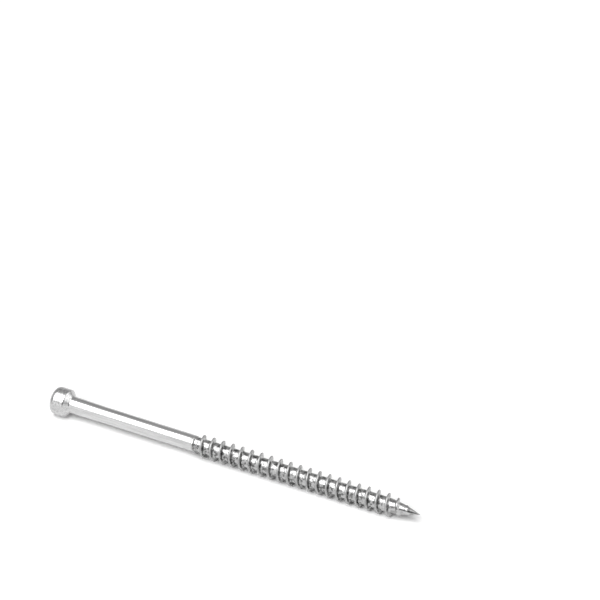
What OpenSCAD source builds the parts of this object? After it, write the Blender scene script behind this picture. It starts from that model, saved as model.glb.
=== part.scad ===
// Deck screw with a small trim head, a plain shank, a coarse wood thread and a
// sharp point, formed from one length of stainless steel wire.
//
// The screw is drawn along its own axis, from the face of the head at 0 to the
// tip, and is then laid down along +X as it comes to rest on a flat surface:
// on the head and on one crest of the thread. Z = 0 is that surface.

/* [Length] */
// Overall length, from the face of the head to the tip
length = 76.2; // [60:0.1:120]
// Length from the face of the head to the end of the plain shank
shank_end = 30.5; // [15:0.1:40]

/* [Head] */
// Diameter of the straight side of the head
head_d = 5.45; // [5:0.05:7]
// Radius of the rounded edge between the face and the side
face_edge_r = 1.05; // [0.4:0.05:1.2]
// Length of the straight side of the head
head_side = 1.8; // [1:0.1:4]
// Radius of the rounded edge between the side and the underside
under_edge_r = 0.4; // [0.3:0.05:1]
// Slope of the underside of the head, from the axis
under_angle = 52; // [40:1:60]
// Radius of the fillet between the underside and the neck
fillet_r = 0.3; // [0.1:0.05:0.8]

/* [Drive recess] */
// Diameter over the six lobes of the star recess
drive_d = 3.3; // [2.6:0.05:3.6]
// Diameter between the lobes
drive_waist_d = 2.4; // [1.9:0.05:2.6]
// Radius of each hollow flank between two lobes
drive_flank_r = 0.77; // [0.6:0.01:0.9]
// Depth of the straight lobes
drive_depth = 2.2; // [1:0.1:3]
// Included angle of the pointed floor of the recess
drive_floor_angle = 140; // [100:5:160]

/* [Shank] */
// Diameter of the neck, just below the head
neck_d = 3.3; // [3.3:0.05:3.9]
// Length over which the neck narrows to the shank
neck_len = 8; // [2:0.5:12]
// Diameter of the plain shank
shank_d = 3.1; // [3:0.05:3.3]
// Length of the slope from the shank down to the root of the thread
shank_chamfer = 0.35; // [0.2:0.05:1]

/* [Thread] */
// Diameter over the crests
thread_d = 4.35; // [4:0.05:5]
// Diameter at the root, between the turns
root_d = 2.8; // [2.4:0.05:2.9]
// Advance in one turn
pitch = 1.99; // [1.6:0.01:2.6]
// Width of the flat along the crest
crest_w = 0.16; // [0.08:0.01:0.3]
// Width of the rib where it leaves the root
rib_w = 0.76; // [0.5:0.02:1]
// Distance in which the rib rises to its full height
run_in = 3.4; // [2:0.1:6]
// Distance in which the rib sinks away towards the tip
run_out = 4.2; // [2:0.1:5]

/* [Point] */
// Length over which the root narrows to the tip
point_len = 7.2; // [5:0.1:12]
// Plain length between the end of the rib and the tip
bare_tip = 1.8; // [1.2:0.1:3]

/* [Lie] */
// Turn of the screw about its own axis as it lies
lie_turn = 58; // [0:1:359]

/* [Hidden] */

// Sides of a full circle
$fn = 96;
// How far a cut starts outside the surface that it opens, and how far the
// pointed floor of the recess starts inside the lobes
cut_past = 1;
floor_lap = 0.01;
// Steps in one turn of the modelled thread
steps = 36;
// How far the threaded body reaches into the shank, and where in the shank the
// rib starts to rise, in turns before the shank's end
lap_turns = 1.65;
rib_lead = 0.85;
// How far the end of the shank reaches below the root of the thread
lap_depth = 0.15;
// The last section of the rib keeps this far from the tip
tip_margin = 0.3;

head_r = head_d / 2;
neck_r = neck_d / 2;
shank_r = shank_d / 2;
thread_r = thread_d / 2;
root_r = root_d / 2;
side_end = face_edge_r + head_side;
// Radius and height at which the straight slope of the underside starts, the
// height at which it ends, and the height at which its fillet ends
slope_r = head_r - under_edge_r * (1 - cos(under_angle));
slope_start = side_end + under_edge_r * sin(under_angle);
slope_end = slope_start + (slope_r - neck_r) / tan(under_angle);
fillet_reach = fillet_r * tan(under_angle / 2);
neck_start = slope_end + fillet_reach;

body_start = shank_end - lap_turns * pitch;
rib_start = shank_end - rib_lead * pitch;
rib_end = length - bare_tip;
last_step = floor((length - tip_margin - rib_w / 2 - body_start) * steps / pitch);
// Axial places of the four corners of the rib's section, from its middle, and
// how far each stands up, as a share of the rib's height
corners = [-rib_w / 2, -crest_w / 2, crest_w / 2, rib_w / 2];
stand = [0, 1, 1, 0];

// Distance from the face of the head to each crest that faces the surface
low_crests = [
    for (turn = [1:floor((length - body_start) / pitch)])
        body_start + pitch * (turn - lie_turn / 360)
];
// Dip of the axis towards the tip, which the first crest to touch decides
dip = min([
    for (s = low_crests)
        atan((head_r - root_at(s) - rib_at(s)) / (s - side_end))
]);

// Eases from 0 to 1
function ease(u) =
    let (v = min(1, max(0, u)))
    v * v * (3 - 2 * v);

// Radius of the root at a distance s from the face of the head
function root_at(s) =
    let (u = min(1, max(0, (length - s) / point_len)))
    root_r * (1 - (1 - u) * (1 - u));

// Height of the rib above the root at a distance s
function rib_at(s) =
    (thread_r - root_r)
    * ease((s - rib_start) / run_in)
    * ease((rib_end - s) / run_out);

// Corner j of the rib's section at step i of the helix
function thread_point(i, j) =
    let (
        middle = body_start + pitch * i / steps,
        s = middle + corners[j],
        r = root_at(s) + stand[j] * rib_at(middle),
        a = 360 * i / steps
    )
    [r * cos(a), r * sin(a), s];

// Index of corner j at step i in the list of points
function at(i, j) = len(corners) * i + j;

module threaded_body() {
    last = len(corners) - 1;
    full_turns_end = last_step - steps;
    start_centre = at(last_step + 1, 0);
    tip = start_centre + 1;
    points = concat(
        [for (i = [0:last_step]) for (j = [0:last]) thread_point(i, j)],
        [[0, 0, body_start + pitch / 2], [0, 0, length]]
    );
    faces = concat(
        // The flanks and the crest of the rib
        [for (i = [0:last_step - 1]) for (j = [0:last - 1]) [at(i, j), at(i, j + 1), at(i + 1, j + 1)]],
        [for (i = [0:last_step - 1]) for (j = [0:last - 1]) [at(i, j), at(i + 1, j + 1), at(i + 1, j)]],
        // The root between one turn and the next
        [for (i = [0:full_turns_end - 1]) [at(i, last), at(i + steps, 0), at(i + 1 + steps, 0)]],
        [for (i = [0:full_turns_end - 1]) [at(i, last), at(i + 1 + steps, 0), at(i + 1, last)]],
        // The end inside the shank
        [for (i = [0:steps - 1]) [start_centre, at(i, 0), at(i + 1, 0)]],
        [for (j = [0:last - 1]) [start_centre, at(0, j + 1), at(0, j)]],
        [[start_centre, at(steps, 0), at(0, last)]],
        // The last turn, which closes on the tip
        [for (i = [full_turns_end + 1:last_step - 1]) [tip, at(i + 1, last), at(i, last)]],
        [for (j = [0:last - 1]) [at(full_turns_end + 1, last), at(last_step, j), at(last_step, j + 1)]],
        [[at(full_turns_end + 1, last), at(full_turns_end, last), at(last_step, 0)]],
        [[at(full_turns_end + 1, last), at(last_step, last), tip]]
    );
    polyhedron(points = points, faces = faces, convexity = 10);
}

// Half section of the head
module head_section() {
    square([head_r - face_edge_r, side_end]);
    translate([0, face_edge_r])
        square([head_r, head_side]);
    intersection() {
        translate([head_r - face_edge_r, face_edge_r])
            circle(r = face_edge_r);
        square([head_r, face_edge_r]);
    }
    intersection() {
        translate([head_r - under_edge_r, side_end])
            circle(r = under_edge_r);
        translate([0, side_end])
            square([head_r, under_edge_r]);
    }
    polygon([
        [0, side_end],
        [head_r - under_edge_r, side_end],
        [slope_r, slope_start],
        [neck_r, slope_end],
        [0, slope_end]
    ]);
    fillet_section();
}

// The small hollow curve where the underside meets the neck
module fillet_section() {
    outer = neck_r + fillet_reach * sin(under_angle);
    start = slope_end - fillet_reach * cos(under_angle);
    difference() {
        polygon([[neck_r, start], [outer, start], [neck_r, neck_start]]);
        translate([neck_r + fillet_r, neck_start])
            circle(r = fillet_r);
    }
}

// Half section of the neck and the plain shank
module shank_section() {
    polygon([
        [0, side_end],
        [neck_r, side_end],
        [neck_r, neck_start],
        [shank_r, neck_start + neck_len],
        [shank_r, shank_end - shank_chamfer],
        [root_r - lap_depth, shank_end],
        [0, shank_end]
    ]);
}

module star_recess() {
    lobes = 6;
    hollow_at = drive_waist_d / 2 + drive_flank_r;
    floor_depth = drive_waist_d / 2 / tan(drive_floor_angle / 2);
    translate([0, 0, -cut_past])
        linear_extrude(height = cut_past + drive_depth)
            difference() {
                circle(d = drive_d);
                for (k = [0:lobes - 1])
                    rotate(360 * (k + 0.5) / lobes)
                        translate([hollow_at, 0])
                            circle(r = drive_flank_r);
            }
    translate([0, 0, drive_depth - floor_lap])
        cylinder(d1 = drive_waist_d, d2 = 0, h = floor_depth);
}

module screw_on_axis() {
    difference() {
        union() {
            rotate_extrude() {
                head_section();
                shank_section();
            }
            threaded_body();
        }
        star_recess();
    }
}

module laid_down() {
    // The end of the head's side is what touches the surface
    rise = head_r * cos(dip) + side_end * sin(dip);
    translate([-length / 2, 0, rise])
        rotate([0, 90 + dip, 0])
            rotate([0, 0, lie_turn])
                children();
}

module screw() {
    color("silver")
        laid_down()
            screw_on_axis();
}

screw();
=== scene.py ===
"""The looks of a deck screw: bright stainless steel on a white floor, in soft light."""

import math

import bmesh
import bpy
from mathutils import Matrix, Vector


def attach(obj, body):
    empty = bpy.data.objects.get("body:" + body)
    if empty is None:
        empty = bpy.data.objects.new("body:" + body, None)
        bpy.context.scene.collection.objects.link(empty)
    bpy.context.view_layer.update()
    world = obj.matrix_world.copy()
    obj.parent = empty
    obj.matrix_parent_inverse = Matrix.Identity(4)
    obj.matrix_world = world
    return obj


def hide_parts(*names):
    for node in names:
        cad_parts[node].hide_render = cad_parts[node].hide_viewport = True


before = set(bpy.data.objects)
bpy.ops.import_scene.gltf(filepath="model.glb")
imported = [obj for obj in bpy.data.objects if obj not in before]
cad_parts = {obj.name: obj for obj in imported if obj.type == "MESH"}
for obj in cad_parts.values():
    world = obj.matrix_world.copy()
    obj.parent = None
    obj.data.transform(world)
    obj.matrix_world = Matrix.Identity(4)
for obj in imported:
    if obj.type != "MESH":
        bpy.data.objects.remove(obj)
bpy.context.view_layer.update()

MM = 0.001

# Sizes of the screw, in millimetres, measured from the face of the head
LENGTH = 76.2
SHANK_END = 30.5
HEAD_R = 5.45 / 2
FACE_EDGE_R = 1.05
HEAD_SIDE = 1.8
UNDER_EDGE_R = 0.4
UNDER_ANGLE = math.radians(52)
FILLET_R = 0.3
NECK_R = 3.3 / 2
NECK_LEN = 8.0
SHANK_R = 3.1 / 2
SHANK_CHAMFER = 0.35
THREAD_R = 4.35 / 2
ROOT_R = 2.8 / 2
PITCH = 1.99
CREST_W = 0.16
RIB_W = 0.76
RUN_IN = 3.4
RUN_OUT = 4.2
POINT_LEN = 7.2
BARE_TIP = 1.8
LAP_TURNS = 1.65
RIB_LEAD = 0.85
LIE_TURN = math.radians(58)

# The star recess
DRIVE_R = 3.3 / 2
DRIVE_WAIST_R = 2.4 / 2
DRIVE_FLANK_R = 0.77
DRIVE_DEPTH = 2.2
DRIVE_FLOOR_ANGLE = math.radians(140)
LOBES = 6
MOUTH_EDGE_R = 0.08

# How far the rings beside the edge of the recess's floor stand off it, and the
# radius in which the rib and the shank's end blend into each other
FLOOR_EDGE = 0.03
BLEND_R = 0.03
# Points closer than this become one, where the thread's strip meets itself and the blank
WELD = 0.001
# Length in which the marks of the rolling dies set in
MARKS_SET_IN = 0.2

# Points round the screw, points across one turn of the thread, and how much
# closer together those stand on the rib than in the root
SIDES = 96
ACROSS = 25
CROWDING = 1.8

SIDE_END = FACE_EDGE_R + HEAD_SIDE
THREAD_START = SHANK_END - LAP_TURNS * PITCH
RIB_START = SHANK_END - RIB_LEAD * PITCH
RIB_END = LENGTH - BARE_TIP


def linear(colour):
    """An sRGB hex colour as the linear values that a shader takes."""
    parts = [int(colour[i:i + 2], 16) / 255 for i in (1, 3, 5)]
    return [c / 12.92 if c <= 0.04045 else ((c + 0.055) / 1.055) ** 2.4 for c in parts] + [1.0]


def add(tree, kind, links=(), **settings):
    """Adds a node, sets its settings, and links or sets its inputs. A node stands for its first output."""
    node = tree.nodes.new(kind)
    for name, value in settings.items():
        setattr(node, name, value)
    for key, source in dict(links).items():
        if isinstance(source, bpy.types.Node):
            source = source.outputs[0]
        if isinstance(source, bpy.types.NodeSocket):
            tree.links.new(source, node.inputs[key])
        else:
            node.inputs[key].default_value = source
    return node


def ease(u):
    v = min(1.0, max(0.0, u))
    return v * v * (3 - 2 * v)


def root_at(s):
    """Radius of the root of the thread at a distance s from the face."""
    u = min(1.0, max(0.0, (LENGTH - s) / POINT_LEN))
    return ROOT_R * (1 - (1 - u) ** 2)


def rib_at(s):
    """Height of the rib above the root at a distance s from the face."""
    return (THREAD_R - ROOT_R) * ease((s - RIB_START) / RUN_IN) * ease((RIB_END - s) / RUN_OUT)


def star_r(angle):
    """Radius of the recess's outline: a circle with a round hollow between each two lobes."""
    step = 2 * math.pi / LOBES
    off = (angle + step) % step - step / 2
    centre = DRIVE_WAIST_R + DRIVE_FLANK_R
    reach = DRIVE_FLANK_R ** 2 - (centre * math.sin(off)) ** 2
    if reach <= 0:
        return DRIVE_R
    return min(DRIVE_R, centre * math.cos(off) - math.sqrt(reach))


def arc(centre_s, centre_r, radius, start, end, count):
    """Rings along an arc of the half section. Angles run from the axis's direction outwards."""
    rings = []
    for i in range(count + 1):
        a = start + (end - start) * i / count
        rings.append((centre_s + radius * math.cos(a), centre_r + radius * math.sin(a)))
    return rings


def recess_rings():
    """The recess as rings of (distance from the face, radius as a function of the angle)."""
    floor_depth = DRIVE_WAIST_R / math.tan(DRIVE_FLOOR_ANGLE / 2)
    rings = []
    # The pointed floor, in shares of the radius between the lobes, and the level floor of the lobes
    for share in (0.25, 0.5, 0.75, 0.95):
        depth = DRIVE_DEPTH + floor_depth * (1 - share)
        rings.append((depth, lambda a, share=share: share * DRIVE_WAIST_R))
    rings.append((DRIVE_DEPTH, lambda a: 0.98 * DRIVE_WAIST_R))
    rings.append((DRIVE_DEPTH, lambda a: star_r(a) - FLOOR_EDGE))
    rings.append((DRIVE_DEPTH - FLOOR_EDGE, star_r))
    # The walls, and the rounded edge of the mouth
    for share in (0.75, 0.5, 0.25):
        rings.append((DRIVE_DEPTH * share, star_r))
    for s, r in arc(MOUTH_EDGE_R, MOUTH_EDGE_R, MOUTH_EDGE_R, math.radians(270), math.radians(180), 4):
        rings.append((s, lambda a, r=r: star_r(a) + r))
    return DRIVE_DEPTH + floor_depth, rings


def outer_rings():
    """The face, the head, the neck and the shank as rings of (distance, radius)."""
    quarter = math.pi / 2
    slope_s = SIDE_END + UNDER_EDGE_R * math.sin(UNDER_ANGLE)
    slope_r = HEAD_R - UNDER_EDGE_R * (1 - math.cos(UNDER_ANGLE))
    slope_end = slope_s + (slope_r - NECK_R) / math.tan(UNDER_ANGLE)
    reach = FILLET_R * math.tan(UNDER_ANGLE / 2)
    neck_start = slope_end + reach
    rings = [(0.0, HEAD_R - FACE_EDGE_R)]
    rings += arc(FACE_EDGE_R, HEAD_R - FACE_EDGE_R, FACE_EDGE_R, 2 * quarter, quarter, 16)[1:]
    for share in (0.04, 0.25, 0.5, 0.75, 0.96):
        rings.append((FACE_EDGE_R + share * HEAD_SIDE, HEAD_R))
    rings += arc(SIDE_END, HEAD_R - UNDER_EDGE_R, UNDER_EDGE_R, quarter, quarter - UNDER_ANGLE, 10)
    bottom = (slope_end - reach * math.cos(UNDER_ANGLE), NECK_R + reach * math.sin(UNDER_ANGLE))
    for share in (0.1, 0.5, 0.9):
        rings.append((slope_s + share * (bottom[0] - slope_s), slope_r + share * (bottom[1] - slope_r)))
    rings += arc(neck_start, NECK_R + FILLET_R, FILLET_R, -quarter - UNDER_ANGLE, -quarter, 6)
    for i in range(1, 9):
        rings.append((neck_start + NECK_LEN * i / 8, NECK_R + (SHANK_R - NECK_R) * ease(i / 8)))
    start = neck_start + NECK_LEN
    for i in range(1, 13):
        rings.append((start + (THREAD_START - start) * i / 12, SHANK_R))
    return rings


def headed_blank():
    """The headed wire before its thread is rolled: closed at the recess, open where the thread starts."""
    bottom, inner = recess_rings()
    rings = inner + [(s, lambda a, r=r: r) for s, r in outer_rings()]
    bm = bmesh.new()
    centre = bm.verts.new((0, 0, bottom))
    loops = []
    for s, radius in rings:
        loop = []
        for k in range(SIDES):
            a = 2 * math.pi * k / SIDES
            loop.append(bm.verts.new((radius(a) * math.cos(a), radius(a) * math.sin(a), s)))
        loops.append(loop)
    for k in range(SIDES):
        bm.faces.new((centre, loops[0][(k + 1) % SIDES], loops[0][k]))
    for low, high in zip(loops, loops[1:]):
        for k in range(SIDES):
            n = (k + 1) % SIDES
            bm.faces.new((low[k], low[n], high[n], high[k]))
    for face in bm.faces:
        face.smooth = True
    mesh = bpy.data.meshes.new("headed_blank")
    bm.to_mesh(mesh)
    bm.free()
    blank = bpy.data.objects.new("headed_blank", mesh)
    bpy.context.scene.collection.objects.link(blank)
    return blank


THREAD_INPUTS = {
    "Length": LENGTH,
    "Thread start": THREAD_START,
    "Turns": math.ceil((LENGTH - THREAD_START) / PITCH) + 1.0,
    "Steps a turn": float(SIDES),
    "Points across": float(ACROSS),
    "Crowding": CROWDING,
    "Pitch": PITCH,
    "Shank radius": SHANK_R,
    "Shank end": SHANK_END - SHANK_CHAMFER,
    "Shank slope": SHANK_CHAMFER * SHANK_R / (SHANK_R - ROOT_R),
    "Root radius": ROOT_R,
    "Rib height": THREAD_R - ROOT_R,
    "Crest half": CREST_W / 2,
    "Rib half": RIB_W / 2,
    "Rib start": RIB_START,
    "Rib full": RIB_START + RUN_IN,
    "Rib falls": RIB_END - RUN_OUT,
    "Rib end": RIB_END,
    "Point start": LENGTH - POINT_LEN,
    "Blend radius": BLEND_R,
    "Marks set in": MARKS_SET_IN,
    "Weld distance": WELD,
}


def thread_tree(steel):
    """Rolls a helical thread with a point onto the end of the blank, as one closed surface."""
    tree = bpy.data.node_groups.new("rolled_thread", "GeometryNodeTree")
    tree.interface.new_socket("Geometry", in_out="INPUT", socket_type="NodeSocketGeometry")
    for name in THREAD_INPUTS:
        tree.interface.new_socket(name, in_out="INPUT", socket_type="NodeSocketFloat")
    tree.interface.new_socket("Geometry", in_out="OUTPUT", socket_type="NodeSocketGeometry")
    given = add(tree, "NodeGroupInput").outputs
    math_node = "ShaderNodeMath"

    # A strip as wide as one turn, which winds round the axis edge to edge
    rows = add(tree, math_node, {0: given["Turns"], 1: given["Steps a turn"], 2: 1.0},
               operation="MULTIPLY_ADD")
    strip = add(tree, "GeometryNodeMeshGrid", {
        "Size X": 2.0, "Size Y": given["Turns"], "Vertices X": given["Points across"], "Vertices Y": rows})
    place = add(tree, "ShaderNodeSeparateXYZ", {0: add(tree, "GeometryNodeInputPosition")})
    half_turns = add(tree, math_node, {0: given["Turns"], 1: 0.5}, operation="MULTIPLY")
    turn = add(tree, math_node, {0: place.outputs["Y"], 1: half_turns}, operation="ADD")

    # Distance of each point from the middle of the rib, crowded towards it
    width = add(tree, math_node, {0: place.outputs["X"]}, operation="ABSOLUTE")
    crowded = add(tree, math_node, {0: width, 1: given["Crowding"]}, operation="POWER")
    half_pitch = add(tree, math_node, {0: given["Pitch"], 1: 0.5}, operation="MULTIPLY")
    from_rib = add(tree, math_node, {0: crowded, 1: half_pitch}, operation="MULTIPLY")
    side = add(tree, math_node, {0: place.outputs["X"]}, operation="SIGN")

    # Place of the rib's middle and of the point along the axis
    turns_back = add(tree, math_node, {0: turn, 1: 0.5}, operation="SUBTRACT")
    middle = add(tree, math_node, {0: turns_back, 1: given["Pitch"], 2: given["Thread start"]},
                 operation="MULTIPLY_ADD")
    along = add(tree, math_node, {0: side, 1: from_rib, 2: middle}, operation="MULTIPLY_ADD")
    after_start = add(tree, math_node, {0: along, 1: given["Thread start"]}, operation="MAXIMUM")
    along = add(tree, math_node, {0: after_start, 1: given["Length"]}, operation="MINIMUM")

    # Radius of the root, which rounds off into the point
    near_tip = add(tree, "ShaderNodeMapRange", {
        "Value": along, "From Min": given["Point start"], "From Max": given["Length"]})
    narrowed = add(tree, math_node, {0: near_tip, 1: near_tip}, operation="MULTIPLY")
    kept = add(tree, math_node, {0: 1.0, 1: narrowed}, operation="SUBTRACT")
    root = add(tree, math_node, {0: kept, 1: given["Root radius"]}, operation="MULTIPLY")

    # Height of the rib, which rises behind the shank and sinks before the tip
    rise = add(tree, "ShaderNodeMapRange", {
        "Value": middle, "From Min": given["Rib start"], "From Max": given["Rib full"]},
        interpolation_type="SMOOTHSTEP")
    sink = add(tree, "ShaderNodeMapRange", {
        "Value": middle, "From Min": given["Rib falls"], "From Max": given["Rib end"],
        "To Min": 1.0, "To Max": 0.0}, interpolation_type="SMOOTHSTEP")
    flank = add(tree, "ShaderNodeMapRange", {
        "Value": from_rib, "From Min": given["Crest half"], "From Max": given["Rib half"],
        "To Min": 1.0, "To Max": 0.0}, interpolation_type="SMOOTHSTEP")
    rise_and_sink = add(tree, math_node, {0: rise, 1: sink}, operation="MULTIPLY")
    share = add(tree, math_node, {0: rise_and_sink, 1: flank}, operation="MULTIPLY")
    threaded = add(tree, math_node, {0: share, 1: given["Rib height"], 2: root}, operation="MULTIPLY_ADD")

    # The shank's own end, which slopes down to the root
    slope_end = add(tree, math_node, {0: given["Shank end"], 1: given["Shank slope"]}, operation="ADD")
    shank = add(tree, "ShaderNodeMapRange", {
        "Value": along, "From Min": given["Shank end"], "From Max": slope_end,
        "To Min": given["Shank radius"], "To Max": 0.0})
    radius = add(tree, math_node, {0: threaded, 1: shank, 2: given["Blend radius"]}, operation="SMOOTH_MAX")
    tip_off = add(tree, math_node, {0: along, 1: given["Length"]}, operation="LESS_THAN")
    radius = add(tree, math_node, {0: radius, 1: tip_off}, operation="MULTIPLY")

    angle = add(tree, math_node, {0: turns_back, 1: 2 * math.pi}, operation="MULTIPLY")
    across = add(tree, math_node, {0: add(tree, math_node, {0: angle}, operation="COSINE"), 1: radius},
                 operation="MULTIPLY")
    up = add(tree, math_node, {0: add(tree, math_node, {0: angle}, operation="SINE"), 1: radius},
             operation="MULTIPLY")
    # For the finish: how far up the rib a point lies, and where the rolling dies touched the wire
    ribbed = add(tree, "GeometryNodeStoreNamedAttribute", {
        "Geometry": strip, "Name": "rib_share", "Value": share}, data_type="FLOAT", domain="POINT")
    marks_full = add(tree, math_node, {0: given["Shank end"], 1: given["Marks set in"]}, operation="ADD")
    rolled = add(tree, "ShaderNodeMapRange", {
        "Value": after_start, "From Min": given["Shank end"], "From Max": marks_full},
        interpolation_type="SMOOTHSTEP")
    marked = add(tree, "GeometryNodeStoreNamedAttribute", {
        "Geometry": ribbed, "Name": "rolled", "Value": rolled}, data_type="FLOAT", domain="POINT")
    wound = add(tree, "GeometryNodeSetPosition", {
        "Geometry": marked, "Position": add(tree, "ShaderNodeCombineXYZ", {0: across, 1: up, 2: along})})
    outwards = add(tree, "GeometryNodeFlipFaces", {"Mesh": wound})

    joined = tree.nodes.new("GeometryNodeJoinGeometry")
    tree.links.new(given["Geometry"], joined.inputs[0])
    tree.links.new(outwards.outputs[0], joined.inputs[0])
    closed = add(tree, "GeometryNodeMergeByDistance", {
        "Geometry": joined, "Distance": given["Weld distance"]})
    placed = add(tree, "GeometryNodeStoreNamedAttribute", {
        "Geometry": closed, "Name": "wire_place", "Value": add(tree, "GeometryNodeInputPosition")},
        data_type="FLOAT_VECTOR", domain="POINT")
    smooth = add(tree, "GeometryNodeSetShadeSmooth", {"Geometry": placed})
    real = add(tree, "GeometryNodeRealizeInstances", {"Geometry": smooth})
    finished = add(tree, "GeometryNodeSetMaterial", {"Geometry": real, "Material": steel})
    add(tree, "NodeGroupOutput", {"Geometry": finished})
    return tree


def laid_down():
    """The matrix that lays the screw on the floor, on its head and on one crest of its thread."""
    crests = []
    for turn in range(1, int((LENGTH - THREAD_START) / PITCH) + 1):
        crests.append(THREAD_START + PITCH * (turn - LIE_TURN / (2 * math.pi)))
    dip = min(math.atan((HEAD_R - root_at(s) - rib_at(s)) / (s - SIDE_END)) for s in crests)
    rise = HEAD_R * math.cos(dip) + SIDE_END * math.sin(dip)
    return (
        Matrix.Scale(MM, 4)
        @ Matrix.Translation((-LENGTH / 2, 0, rise))
        @ Matrix.Rotation(math.pi / 2 + dip, 4, "Y")
        @ Matrix.Rotation(LIE_TURN, 4, "Z")
    )


def screw(steel):
    blank = headed_blank()
    tree = thread_tree(steel)
    modifier = blank.modifiers.new("rolled_thread", "NODES")
    modifier.node_group = tree
    for item in tree.interface.items_tree:
        if item.in_out == "INPUT" and item.name in THREAD_INPUTS:
            modifier[item.identifier] = THREAD_INPUTS[item.name]
    bpy.context.view_layer.update()
    evaluated = blank.evaluated_get(bpy.context.evaluated_depsgraph_get())
    mesh = bpy.data.meshes.new_from_object(evaluated)
    mesh.name = "deck_screw"
    bpy.data.objects.remove(blank)
    mesh.transform(laid_down())
    piece = bpy.data.objects.new("deck_screw", mesh)
    bpy.context.scene.collection.objects.link(piece)
    return piece


# The steel's patterns in millimetres: lines of the drawing die, dimples of
# tumbling, and patches that the rolling dies leave
LINE_GAP = 0.3125
LINE_LENGTH = 5.0
DIMPLE_SIZE = 0.4
PATCH_SIZE = 2 / 3
LINE_DEPTH = 0.004
DIMPLE_DEPTH = 0.012
PATCH_DEPTH = 0.06
# How far past the head its dimples fade, where the point gets calmer, counted
# from the tip, and how much of the patches and their painted shade is left there
DIMPLES_FADE = 4.0
CALM_FROM = 8.0
CALM_FULL = 4.0
CALM_SHARE = 0.55


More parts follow.
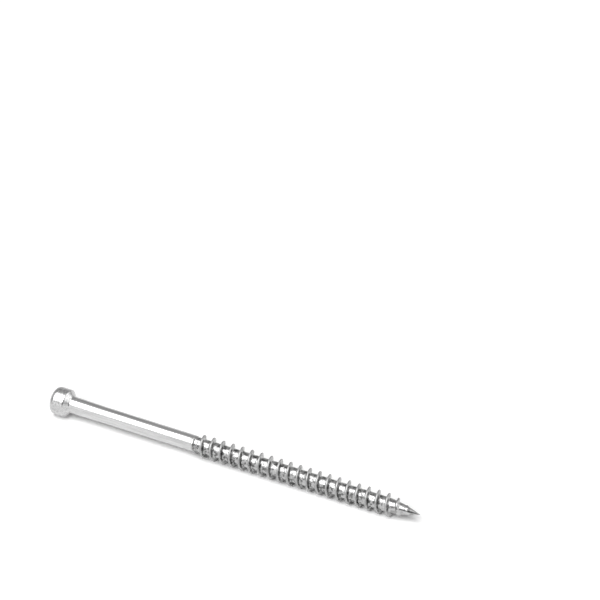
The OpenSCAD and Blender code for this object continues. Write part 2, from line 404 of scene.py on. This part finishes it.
def stainless_steel():
    """Stainless steel wire, drawn, cold headed and thread rolled.

    The drawn shank is a soft mirror with faint lines along it. The headed end is tumbled, which dimples
    and stains its mirror a little. The rolling dies leave the root and the flanks of the thread in patches,
    dark and bright at random; both patch colours are darker than the drawn wire, which paints shade
    between the ribs. The crests are a duller, even grey. The point, which the dies pinch off, is calmer.
    Patterns are in millimetres on the wire's own axes.
    """
    material = bpy.data.materials.new("drawn_and_rolled_stainless_steel")
    material.use_nodes = True
    tree = material.node_tree
    tree.nodes.clear()
    math_node = "ShaderNodeMath"
    place = add(tree, "ShaderNodeAttribute", attribute_name="wire_place").outputs["Vector"]
    rolled = add(tree, "ShaderNodeAttribute", attribute_name="rolled").outputs["Fac"]
    rib_share = add(tree, "ShaderNodeAttribute", attribute_name="rib_share").outputs["Fac"]

    # The real lines are finer than these, which are as coarse as they need to be to show
    stretched = add(tree, "ShaderNodeVectorMath", {
        0: place, 1: (1 / LINE_GAP, 1 / LINE_GAP, 1 / LINE_LENGTH)}, operation="MULTIPLY")
    lines = add(tree, "ShaderNodeTexNoise", {
        "Vector": stretched, "Scale": 1.0, "Detail": 3.0, "Roughness": 0.65})
    dimples = add(tree, "ShaderNodeTexNoise", {
        "Vector": place, "Scale": 1 / DIMPLE_SIZE, "Detail": 3.0, "Roughness": 0.6})
    patches = add(tree, "ShaderNodeTexNoise", {
        "Vector": place, "Scale": 1 / PATCH_SIZE, "Detail": 3.5, "Roughness": 0.62, "Distortion": 0.4})

    # Where the wire is headed, where it is a crest, and where it has patches and painted shade
    along = add(tree, "ShaderNodeSeparateXYZ", {0: place}).outputs["Z"]
    headed = add(tree, "ShaderNodeMapRange", {
        "Value": along, "From Min": SIDE_END, "From Max": SIDE_END + DIMPLES_FADE,
        "To Min": 1.0, "To Max": 0.0}, interpolation_type="SMOOTHSTEP")
    crest = add(tree, "ShaderNodeMapRange", {"Value": rib_share, "From Min": 0.65, "From Max": 0.92},
                interpolation_type="SMOOTHSTEP")
    off_crest = add(tree, math_node, {0: 1.0, 1: crest}, operation="SUBTRACT")
    calm = add(tree, "ShaderNodeMapRange", {
        "Value": along, "From Min": LENGTH - CALM_FROM, "From Max": LENGTH - CALM_FULL,
        "To Min": 1.0, "To Max": CALM_SHARE}, interpolation_type="SMOOTHSTEP")
    in_root = add(tree, math_node, {0: rolled, 1: off_crest}, operation="MULTIPLY")
    patchy_and_shaded = add(tree, math_node, {0: in_root, 1: calm}, operation="MULTIPLY")

    # The bright wire is a shade darker along its drawn lines and in the dimples of the head
    line_tone = add(tree, "ShaderNodeMapRange", {
        "Value": lines, "From Min": 0.35, "From Max": 0.65, "To Min": 0.8, "To Max": 1.04})
    dimple_tone = add(tree, "ShaderNodeMapRange", {
        "Value": dimples, "From Min": 0.38, "From Max": 0.6, "To Min": 0.72, "To Max": 0.98})
    wire_tone = add(tree, "ShaderNodeMix", {
        "Factor": headed, "A": line_tone, "B": dimple_tone}, data_type="FLOAT")
    wire = add(tree, "ShaderNodeMix", {
        "Factor": wire_tone, 6: linear("#000000"), 7: linear("#DADADA")},
        data_type="RGBA", clamp_factor=False)

    # In the thread, dark patches cover about half of the steel. Both patch colours are darker than the
    # drawn wire: painted shade between the ribs
    cover = add(tree, "ShaderNodeMapRange", {"Value": patches, "From Min": 0.42, "From Max": 0.54})
    shaded_patch_colour = add(tree, "ShaderNodeMix", {
        "Factor": cover, 6: linear("#6A6A6A"), 7: linear("#C0C0C0")}, data_type="RGBA")
    # The root and the flanks take the darker patch colours, painted shade between the ribs, with less of it
    # near the tip
    below_crest = add(tree, "ShaderNodeMix", {
        "Factor": patchy_and_shaded, 6: wire.outputs[2], 7: shaded_patch_colour.outputs[2]}, data_type="RGBA")
    colour = add(tree, "ShaderNodeMix", {
        "Factor": crest, 6: below_crest.outputs[2], 7: linear("#B4B4B4")}, data_type="RGBA")

    # Lines are rougher than the wire between them, and head, thread and crests rougher than the shank
    line_rough = add(tree, "ShaderNodeMapRange", {
        "Value": lines, "From Min": 0.3, "From Max": 0.7, "To Min": 0.17, "To Max": 0.1})
    wire_rough = add(tree, math_node, {0: headed, 1: 0.06, 2: line_rough}, operation="MULTIPLY_ADD")
    root_rough = add(tree, math_node, {0: patchy_and_shaded, 1: 0.06, 2: wire_rough}, operation="MULTIPLY_ADD")
    roughness = add(tree, math_node, {0: crest, 1: 0.3, 2: root_rough}, operation="MULTIPLY_ADD")

    # Relief in millimetres
    line_relief = add(tree, math_node, {0: lines, 1: LINE_DEPTH}, operation="MULTIPLY")
    dimple_depth = add(tree, math_node, {0: headed, 1: DIMPLE_DEPTH}, operation="MULTIPLY")
    wire_relief = add(tree, math_node, {0: dimples, 1: dimple_depth, 2: line_relief},
                      operation="MULTIPLY_ADD")
    patch_depth = add(tree, math_node, {0: patchy_and_shaded, 1: PATCH_DEPTH}, operation="MULTIPLY")
    relief = add(tree, math_node, {0: patches, 1: patch_depth, 2: wire_relief}, operation="MULTIPLY_ADD")
    bump = add(tree, "ShaderNodeBump", {"Height": relief, "Strength": 1.0, "Distance": MM})

    shader = add(tree, "ShaderNodeBsdfPrincipled", {
        "Base Color": colour.outputs[2], "Metallic": 1.0, "Roughness": roughness, "Normal": bump})
    add(tree, "ShaderNodeOutputMaterial", {"Surface": shader})
    return material


# Half the side of the paper in metres, the light that it throws back on the
# screw, and how much whiter the camera sees it
FLOOR_HALF = 3.0
PAPER = 0.87
PAPER_SEEN = 0.17


def white_floor():
    """Matt white paper, which lends the screw its shadow and its light from below."""
    material = bpy.data.materials.new("white_paper")
    material.use_nodes = True
    tree = material.node_tree
    tree.nodes.clear()
    path = add(tree, "ShaderNodeLightPath")
    seen = add(tree, "ShaderNodeMath", {0: path.outputs["Is Camera Ray"], 1: PAPER_SEEN, 2: PAPER},
               operation="MULTIPLY_ADD")
    white = add(tree, "ShaderNodeCombineColor", {0: seen, 1: seen, 2: seen})
    paper = add(tree, "ShaderNodeBsdfDiffuse", {"Color": white})
    add(tree, "ShaderNodeOutputMaterial", {"Surface": paper})
    mesh = bpy.data.meshes.new("floor")
    corners = [(x * FLOOR_HALF, y * FLOOR_HALF, 0) for x, y in ((-1, -1), (1, -1), (1, 1), (-1, 1))]
    mesh.from_pydata(corners, [], [(0, 1, 2, 3)])
    mesh.materials.append(material)
    floor = bpy.data.objects.new("floor", mesh)
    bpy.context.scene.collection.objects.link(floor)


# The camera, fitted to the outlines and the crests in the photograph; its
# distance and its aim are in millimetres
CAMERA_AZIMUTH = math.radians(26.42)
CAMERA_ELEVATION = math.radians(36.64)
CAMERA_ROLL = math.radians(0.6)
CAMERA_DISTANCE = 574.8
CAMERA_AIM = (-11.465, 51.76, 0.0)
SENSOR_W = 36.0
LENS = 171.96


def camera():
    back = Vector((
        math.sin(CAMERA_AZIMUTH) * math.cos(CAMERA_ELEVATION),
        -math.cos(CAMERA_AZIMUTH) * math.cos(CAMERA_ELEVATION),
        math.sin(CAMERA_ELEVATION),
    ))
    level = Vector((math.cos(CAMERA_AZIMUTH), math.sin(CAMERA_AZIMUTH), 0.0))
    above = back.cross(level)
    right = level * math.cos(CAMERA_ROLL) - above * math.sin(CAMERA_ROLL)
    up = level * math.sin(CAMERA_ROLL) + above * math.cos(CAMERA_ROLL)
    turn = Matrix((right, up, back)).transposed().to_4x4()
    place = (Vector(CAMERA_AIM) + back * CAMERA_DISTANCE) * MM
    data = bpy.data.cameras.new("camera")
    data.sensor_width = SENSOR_W
    data.lens = LENS
    data.clip_start = 0.01
    eye = bpy.data.objects.new("camera", data)
    eye.matrix_world = Matrix.Translation(place) @ turn
    bpy.context.scene.collection.objects.link(eye)
    bpy.context.scene.camera = eye


def in_picture(right, back, up):
    """A direction, given as right, back and up in the picture."""
    level = Vector((math.cos(CAMERA_AZIMUTH), math.sin(CAMERA_AZIMUTH), 0.0))
    inwards = Vector((-math.sin(CAMERA_AZIMUTH), math.cos(CAMERA_AZIMUTH), 0.0))
    return (level * right + inwards * back + Vector((0, 0, up))).normalized()


# The softbox: where it hangs and which way its length runs, as right, back and
# up in the picture, its distance and size in metres, and its radiance, of which
# 1 is white
SOFTBOX_TOWARDS = (-0.369, -0.225, 0.901)
SOFTBOX_ALONG = (0.42, 0.83, 0.38)
SOFTBOX_DISTANCE = 0.8
SOFTBOX_LENGTH = 0.87
SOFTBOX_WIDTH = 0.66
SOFTBOX_RADIANCE = 2.3


def softbox():
    away = in_picture(*SOFTBOX_TOWARDS)
    across = away.cross(in_picture(*SOFTBOX_ALONG)).normalized()
    turn = Matrix((across.cross(away), across, away)).transposed().to_4x4()
    lamp = bpy.data.lights.new("overhead_softbox", "AREA")
    lamp.shape = "RECTANGLE"
    lamp.size = SOFTBOX_LENGTH
    lamp.size_y = SOFTBOX_WIDTH
    lamp.energy = SOFTBOX_RADIANCE * math.pi * SOFTBOX_LENGTH * SOFTBOX_WIDTH
    box = bpy.data.objects.new("overhead_softbox", lamp)
    box.matrix_world = Matrix.Translation(away * SOFTBOX_DISTANCE) @ turn
    bpy.context.scene.collection.objects.link(box)


def part_of_room(tree, ray, towards, reach, strength):
    """A soft-edged part of the room round a direction in the picture.

    reach gives the cosines of the angle from that direction at the outer and the inner edge, and
    strength the light outside the outer edge and within the inner one.
    """
    facing = add(tree, "ShaderNodeVectorMath", {0: ray, 1: in_picture(*towards)}, operation="DOT_PRODUCT")
    return add(tree, "ShaderNodeMapRange", {
        "Value": facing.outputs["Value"], "From Min": reach[0], "From Max": reach[1],
        "To Min": strength[0], "To Max": strength[1]}, interpolation_type="SMOOTHSTEP")


def light():
    """One softbox overhead, a grey room that only the steel mirrors, and a soft sky for the paper.

    The room is brighter in front at the left, at the right and overhead than behind the screw. Seen
    straight from the camera, all of it is white.
    """
    softbox()
    world = bpy.data.worlds.new("studio")
    bpy.context.scene.world = world
    world.use_nodes = True
    tree = world.node_tree
    tree.nodes.clear()
    math_node = "ShaderNodeMath"
    ray = add(tree, "ShaderNodeTexCoord").outputs["Generated"]

    front_left = part_of_room(tree, ray, (-0.574, -0.819, 0), (0.62, 0.9), (0.4, 0.85))
    right = part_of_room(tree, ray, (0.9, -0.06, 0.43), (0.84, 0.95), (0.0, 1.1))
    walls = add(tree, math_node, {0: front_left, 1: right}, operation="ADD")
    # The paper curves up round the set, so the steel sees some white above the floor's edge
    paper_edge = part_of_room(tree, ray, (0, 0, 1), (0.2, 0.45), (0.2, 0.0))
    sides = add(tree, math_node, {0: walls, 1: paper_edge}, operation="ADD")
    # The ceiling shines too, down to where it meets the rear wall
    short_of_rear = part_of_room(tree, ray, (0, 1, 0), (0.15, 0.7), (0.5, 0.0))
    overhead = part_of_room(tree, ray, (0, 0, 1), (0.35, 0.75), (0.0, 1.0))
    all_round = add(tree, math_node, {0: short_of_rear, 1: overhead, 2: sides}, operation="MULTIPLY_ADD")
    # The room is dark round the camera
    beside_camera = part_of_room(tree, ray, (0, -0.8, 0.6), (0.78, 0.95), (1.0, 0.15))
    # The softbox is brightest in its middle
    hot_middle = part_of_room(tree, ray, SOFTBOX_TOWARDS, (0.9, 0.98), (0.0, 1.0))
    mirrored = add(tree, math_node, {0: all_round, 1: beside_camera, 2: hot_middle},
                   operation="MULTIPLY_ADD")

    # The paper is lit from above and in front, so that the screw's shadow stays close to it
    sky = part_of_room(tree, ray, (-0.2, -0.5, 0.84), (0.66, 0.98), (0.05, 2.3))
    path = add(tree, "ShaderNodeLightPath").outputs
    unseen = add(tree, "ShaderNodeMix", {0: path["Is Glossy Ray"], 2: sky, 3: mirrored}, data_type="FLOAT")
    strength = add(tree, "ShaderNodeMix", {0: path["Is Camera Ray"], 2: unseen, 3: 1.0}, data_type="FLOAT")
    background = add(tree, "ShaderNodeBackground", {"Color": linear("#FFFFFF"), "Strength": strength})
    add(tree, "ShaderNodeOutputWorld", {"Surface": background})
    bpy.context.scene.view_settings.view_transform = "Standard"


camera()
light()
white_floor()
steel = stainless_steel()
piece = screw(steel)
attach(piece, "root")
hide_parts("screw")
